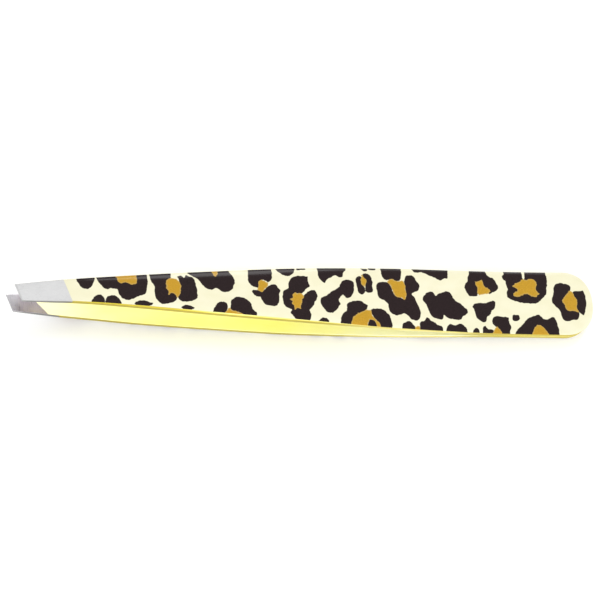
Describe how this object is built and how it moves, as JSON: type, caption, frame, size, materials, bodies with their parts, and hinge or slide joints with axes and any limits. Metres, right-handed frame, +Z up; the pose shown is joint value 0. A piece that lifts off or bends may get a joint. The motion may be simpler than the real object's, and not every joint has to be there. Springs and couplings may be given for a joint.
{
  "type": "slant tweezers",
  "caption": "Sprung steel tweezers with slanted bare tips, gold-coloured inner faces and sides, and an animal-spot print on the bowed outer faces. The arms are welded at the rounded heel.",
  "frame": {"origin": "middle of the bounding box's underside, on the surface that the tweezers lie on", "axes": "+X towards the heel, so the slanted tips point to -X; +Y across the width, towards the side where the slanted tips reach furthest; +Z up, from the lower arm to the upper arm"},
  "size_m": [0.095, 0.0104, 0.0116],
  "materials": {
    "gold_coating": "gold-coloured metallic coating over stamped spring steel, smooth and bright",
    "bare_steel": "bare ground steel with fine grinding lines",
    "lacquered_print": "cream print with brown-black and tan spots under clear gloss lacquer",
    "weld_steel": "fused spot weld, dull"
  },
  "bodies": {
    "heel": {"upper_arm_heel": "gold_coating", "lower_arm_heel": "gold_coating", "upper_heel_print": "lacquered_print", "lower_heel_print": "lacquered_print", "front_weld": "weld_steel", "rear_weld": "weld_steel"},
    "upper_blade": {"upper_arm_blade": "gold_coating", "upper_arm_tip": "bare_steel", "upper_blade_print": "lacquered_print"},
    "lower_blade": {"lower_arm_blade": "gold_coating", "lower_arm_tip": "bare_steel", "lower_blade_print": "lacquered_print"}
  },
  "joints": [
    {"name": "upper_arm_squeeze", "type": "hinge", "parent": "heel", "child": "upper_blade", "pos_m": [0.02463, 0, 0.00392], "axis": [0, -1, 0], "range_deg": [0, 2.1], "stiffness_Nm_per_rad": 2},
    {"name": "lower_arm_squeeze", "type": "hinge", "parent": "heel", "child": "lower_blade", "pos_m": [0.02446, 0, 0.00143], "axis": [0, 1, 0], "range_deg": [0, 2.1], "stiffness_Nm_per_rad": 2}
  ]
}
